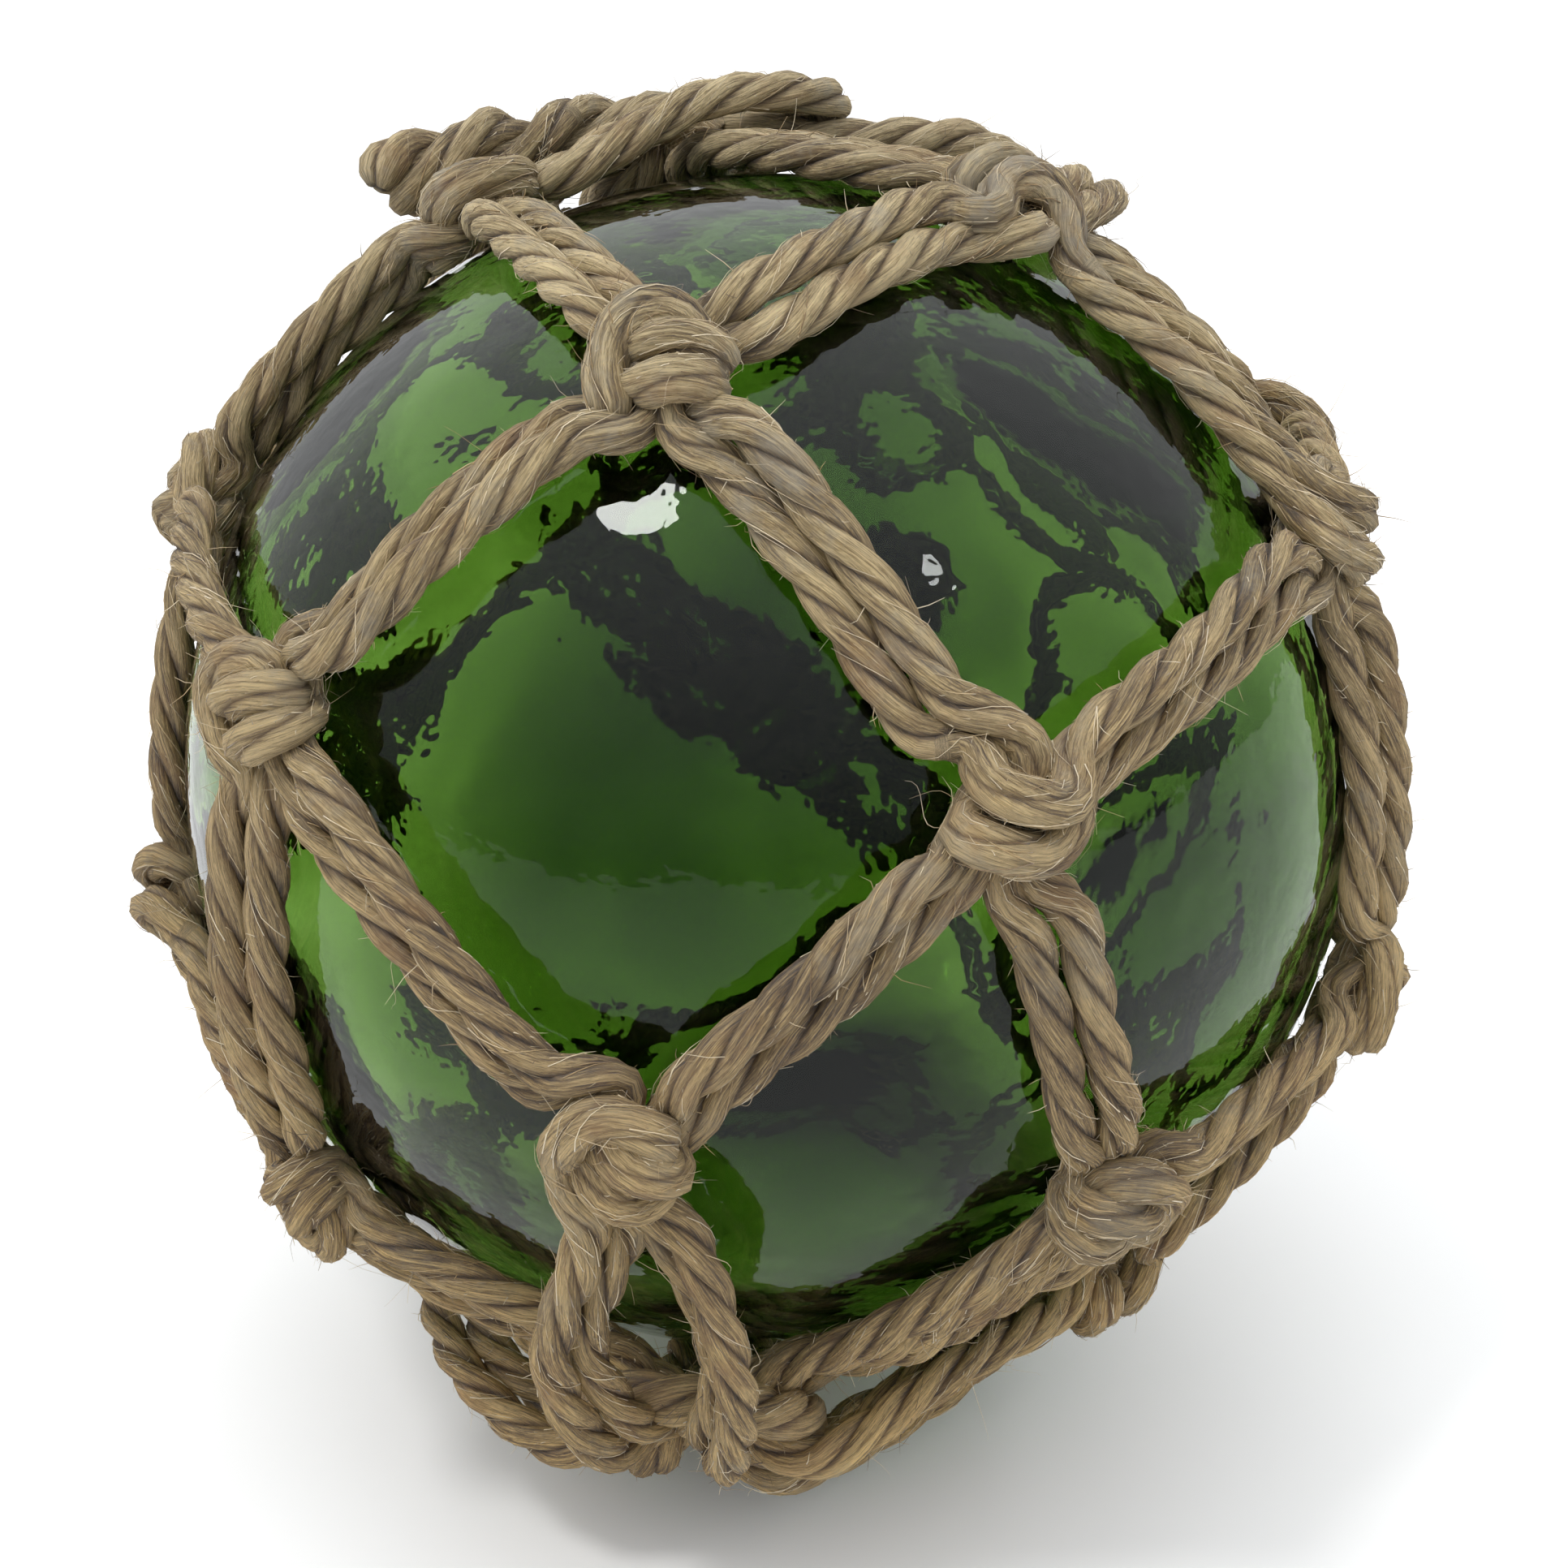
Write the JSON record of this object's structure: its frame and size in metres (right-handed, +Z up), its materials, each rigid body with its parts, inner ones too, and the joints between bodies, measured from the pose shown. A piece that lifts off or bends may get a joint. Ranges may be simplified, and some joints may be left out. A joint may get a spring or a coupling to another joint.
{
  "type": "glass float ball",
  "caption": "Sealed blown-glass float ball held in a hand-knotted doubled-twine net with a crown drawstring and a base ring, resting on one flattened knot.",
  "frame": {"origin": "middle of the small flat spot under the net's lowest knot, where the float rests", "axes": "+Z up through the ball's centre; the net's crown leans back towards +Y and a little towards +X, and its base gathers low on the -Y side"},
  "size_m": [0.1445, 0.1474, 0.1443],
  "materials": {
    "green_glass": "clear bottle-green blown glass, smooth and glossy, slightly rippled",
    "jute_twine": "three-strand jute twine, matte and hairy",
    "jute_cord": "three-strand jute cord, matte and hairy, a little darker"
  },
  "bodies": {
    "root": {"glass_ball": "green_glass", "rope_net": "jute_twine", "crown_drawstring": "jute_cord", "base_ring": "jute_cord"}
  },
  "joints": []
}
